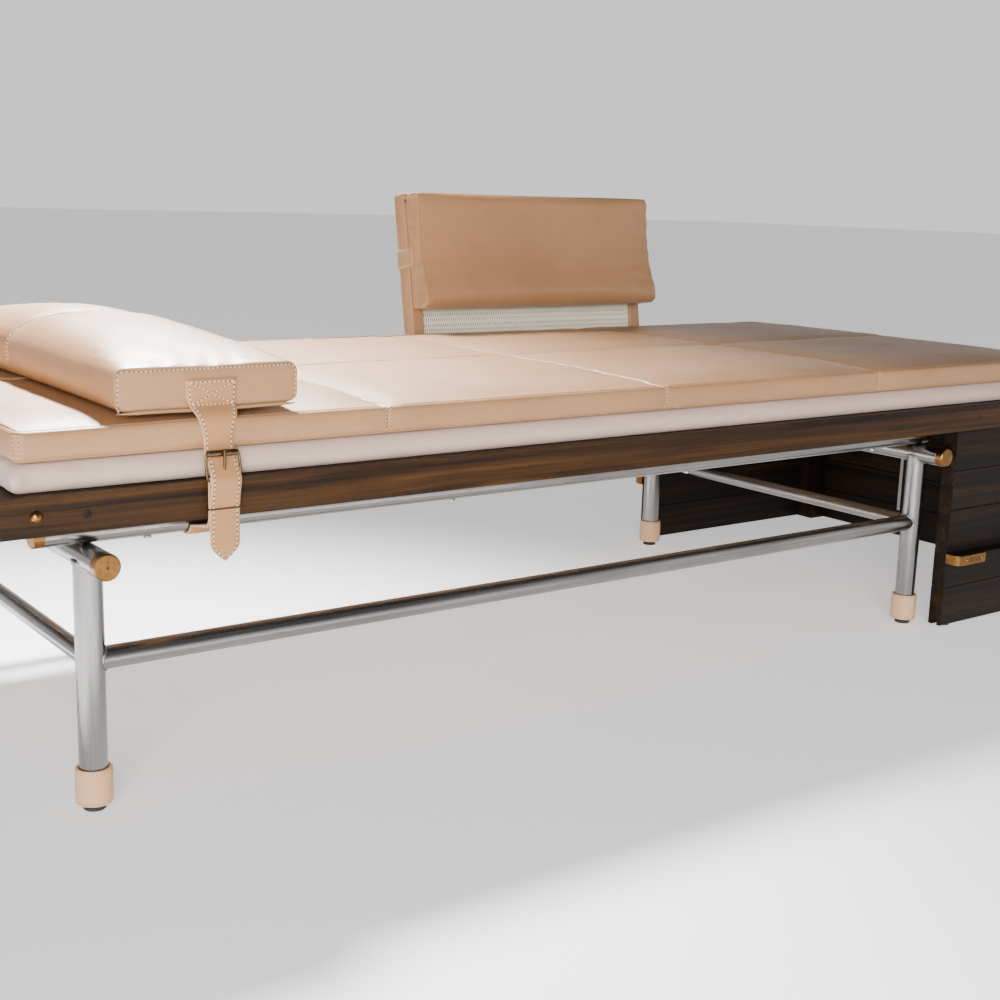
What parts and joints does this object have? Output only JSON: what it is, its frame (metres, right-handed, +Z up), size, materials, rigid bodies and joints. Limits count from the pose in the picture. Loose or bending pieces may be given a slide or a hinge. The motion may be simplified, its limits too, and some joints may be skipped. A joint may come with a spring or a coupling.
{
  "type": "leather daybed",
  "caption": "Low daybed on a welded tube stand, with a leather mattress, strapped head pillow, lift-out backrest and a plank skirt round its foot end.",
  "frame": {"origin": "centre of the whole object's box at floor level", "axes": "+X along the bed towards the skirt, +Y towards the backrest, +Z up"},
  "size_m": [2.055, 0.8742, 0.6867],
  "materials": {
    "brushed_tube": "raw steel tube, brushed and clear lacquered",
    "brass": "satin brass",
    "cuff_leather": "stitched nude leather",
    "insert_steel": "plain steel",
    "black_glide": "moulded black",
    "walnut": "oiled dark walnut",
    "slat_wood": "plain sanded slats",
    "screw_steel": "zinc",
    "dark_walnut": "oiled dark walnut, darker boards",
    "base_fabric": "pale plain weave",
    "tan_leather": "smooth semi-aniline leather",
    "strap_leather": "vegetable-tanned strap leather",
    "antique_brass": "dark antique brass",
    "woven_cord": "woven off-white cord"
  },
  "bodies": {
    "bed": {"leg_front_left": "brushed_tube", "leg_front_right": "brushed_tube", "leg_rear_left": "brushed_tube", "leg_rear_right": "brushed_tube", "cross_tube_left": "brushed_tube", "cross_tube_right": "brushed_tube", "tie_left": "brushed_tube", "tie_right": "brushed_tube", "stretcher_front": "brushed_tube", "stretcher_rear": "brushed_tube", "bearer_front": "brushed_tube", "bearer_rear": "brushed_tube", "cross_caps": "brass", "bearer_caps": "brass", "foot_cuffs": "cuff_leather", "foot_inserts": "insert_steel", "side_rail_front": "walnut", "side_rail_rear": "walnut", "end_rail_left": "walnut", "end_rail_right": "walnut", "deck_slats": "slat_wood", "slat_ledgers": "slat_wood", "end_shelf": "walnut", "rail_plugs": "walnut", "wood_screws": "screw_steel", "skirt_front": "dark_walnut", "skirt_rear": "dark_walnut", "skirt_end": "dark_walnut", "skirt_posts": "dark_walnut", "skirt_pads": "black_glide", "skirt_strip": "insert_steel", "batten_front": "dark_walnut", "batten_rear": "dark_walnut", "batten_clips": "brass", "brass_fixings": "brass", "base_pad": "base_fabric", "mattress": "tan_leather", "head_pillow": "tan_leather", "pillow_strap_front": "strap_leather", "pillow_strap_rear": "strap_leather", "anchor_strap_front": "strap_leather", "anchor_strap_rear": "strap_leather", "buckle_front": "antique_brass", "buckle_rear": "antique_brass", "strap_keepers": "antique_brass", "back_sockets": "insert_steel"},
    "backrest": {"back_stile_left": "tan_leather", "back_stile_right": "tan_leather", "back_rails": "walnut", "woven_panel": "woven_cord", "back_pad": "tan_leather", "back_pad_loops": "tan_leather"},
    "foot_front_left": {"foot_front_left": "black_glide"},
    "foot_front_right": {"foot_front_right": "black_glide"},
    "foot_rear_left": {"foot_rear_left": "black_glide"},
    "foot_rear_right": {"foot_rear_right": "black_glide"},
    "prong_front": {"prong_front": "antique_brass"},
    "prong_rear": {"prong_rear": "antique_brass"},
    "roller_front": {"roller_front": "antique_brass"},
    "roller_rear": {"roller_rear": "antique_brass"}
  },
  "joints": [
    {"name": "backrest_lift", "type": "slide", "parent": "bed", "child": "backrest", "axis": [0, 0.1668, 0.986], "range_m": [0, 0.12]},
    {"name": "prong_front_swing", "type": "hinge", "parent": "bed", "child": "prong_front", "pos_m": [-0.7875, -0.41881, 0.373], "axis": [1, 0, 0], "range_deg": [0, 70]},
    {"name": "prong_rear_swing", "type": "hinge", "parent": "bed", "child": "prong_rear", "pos_m": [-0.7875, 0.34809, 0.373], "axis": [-1, 0, 0], "range_deg": [0, 70]},
    {"name": "roller_front_spin", "type": "hinge", "parent": "bed", "child": "roller_front", "pos_m": [-0.7875, -0.41451, 0.402], "axis": [1, 0, 0], "continuous": true},
    {"name": "roller_rear_spin", "type": "hinge", "parent": "bed", "child": "roller_rear", "pos_m": [-0.7875, 0.34379, 0.402], "axis": [1, 0, 0], "continuous": true},
    {"name": "level_front_left", "type": "slide", "parent": "bed", "child": "foot_front_left", "axis": [0, 0, -1], "range_m": [0, 0.01]},
    {"name": "level_front_right", "type": "slide", "parent": "bed", "child": "foot_front_right", "axis": [0, 0, -1], "range_m": [0, 0.01]},
    {"name": "level_rear_left", "type": "slide", "parent": "bed", "child": "foot_rear_left", "axis": [0, 0, -1], "range_m": [0, 0.01]},
    {"name": "level_rear_right", "type": "slide", "parent": "bed", "child": "foot_rear_right", "axis": [0, 0, -1], "range_m": [0, 0.01]}
  ]
}
